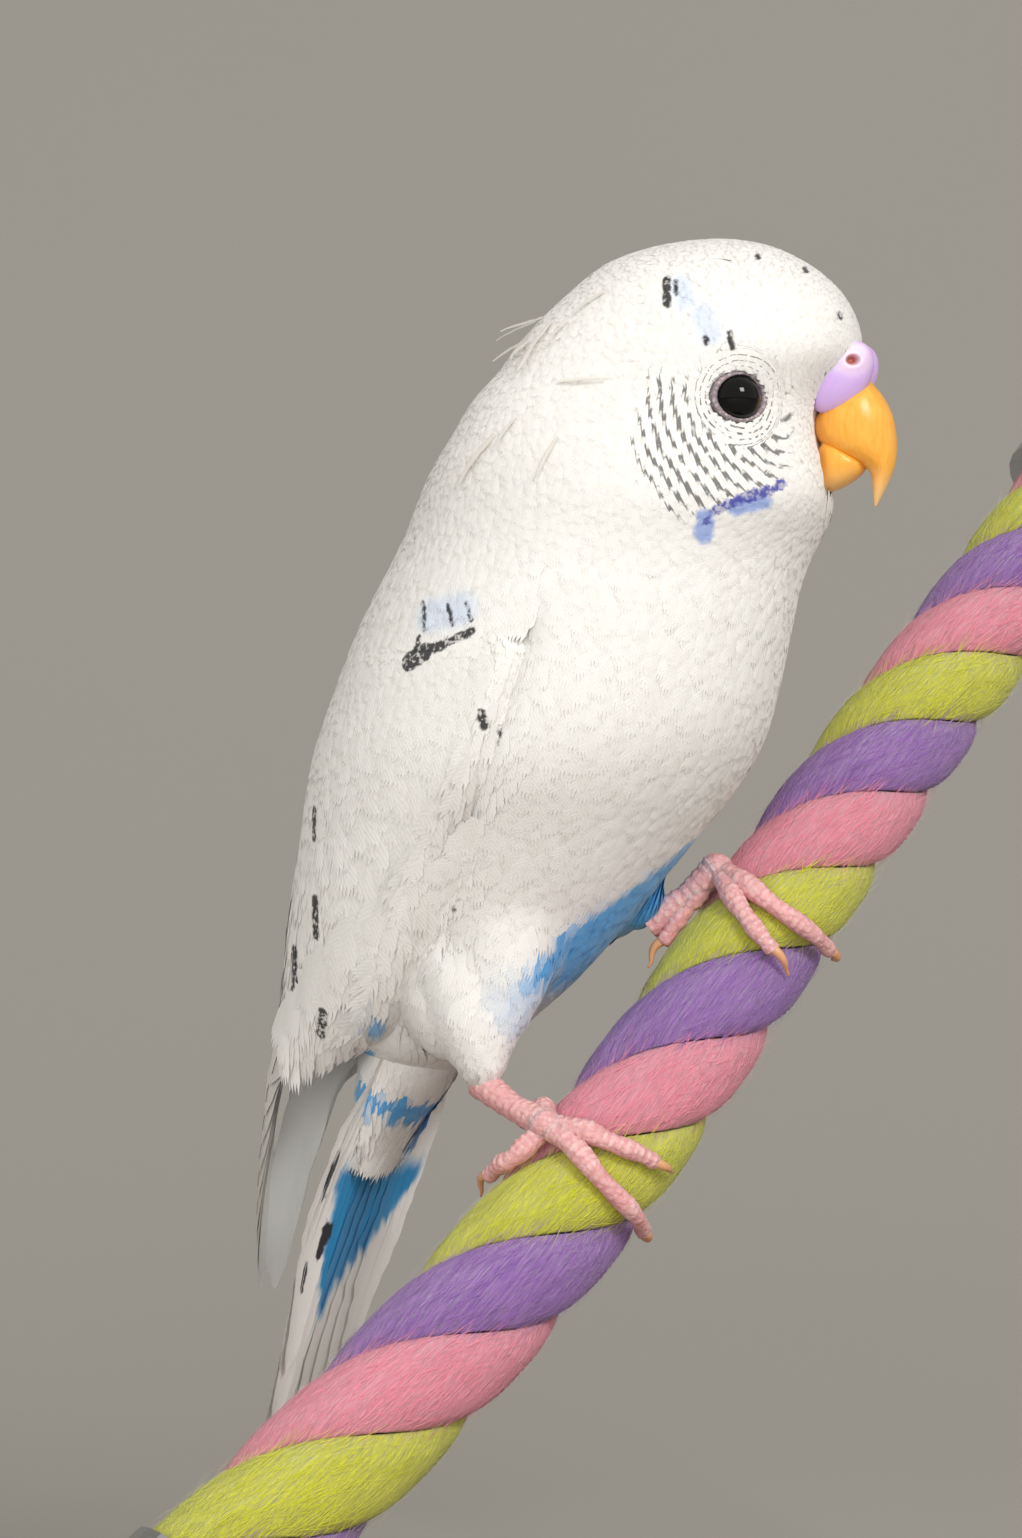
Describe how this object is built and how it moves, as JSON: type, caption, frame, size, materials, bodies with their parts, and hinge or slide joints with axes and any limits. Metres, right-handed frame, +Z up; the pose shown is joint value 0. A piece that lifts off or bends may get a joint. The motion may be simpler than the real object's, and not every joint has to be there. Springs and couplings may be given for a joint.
{
  "type": "budgerigar",
  "caption": "Still, life-size model of a white and blue budgerigar perched on a cut length of thick twisted rope, held by rods on a flat round display base.",
  "frame": {"origin": "centre of the display base's underside", "axes": "+Z up; the viewer of the picture looks along +Y with +X to the right; the bird's head points to +X and a little to -Y"},
  "size_m": [0.158, 0.158, 0.1757],
  "materials": {
    "cere_lilac": "smooth bare skin",
    "claw_horn": "smooth keratin",
    "eye_black": "wet gloss",
    "horn_orange": "smooth keratin",
    "plumage_white": "soft matte feathers",
    "skin_pink": "scaly skin",
    "stand_steel": "brushed",
    "stand_wood": "oiled, fine grain",
    "strand_green": "laid soft fibre",
    "strand_pink": "laid soft fibre",
    "strand_purple": "laid soft fibre"
  },
  "bodies": {
    "root": {"bill_lower": "horn_orange", "bill_upper": "horn_orange", "cere": "cere_lilac", "claw_left_inner_front": "claw_horn", "claw_left_inner_hind": "claw_horn", "claw_left_outer_front": "claw_horn", "claw_left_outer_hind": "claw_horn", "claw_right_inner_front": "claw_horn", "claw_right_inner_hind": "claw_horn", "claw_right_outer_front": "claw_horn", "claw_right_outer_hind": "claw_horn", "eye_left": "eye_black", "eye_right": "eye_black", "foot_left": "skin_pink", "foot_right": "skin_pink", "head": "plumage_white", "neck": "plumage_white", "perch_strand_green": "strand_green", "perch_strand_pink": "strand_pink", "perch_strand_purple": "strand_purple", "stand_base": "stand_wood", "stand_cap_high": "stand_steel", "stand_cap_low": "stand_steel", "stand_rod_high": "stand_steel", "stand_rod_low": "stand_steel", "tail": "plumage_white", "thigh_left": "plumage_white", "thigh_right": "plumage_white", "torso": "plumage_white", "wing_left": "plumage_white", "wing_right": "plumage_white"}
  },
  "joints": []
}
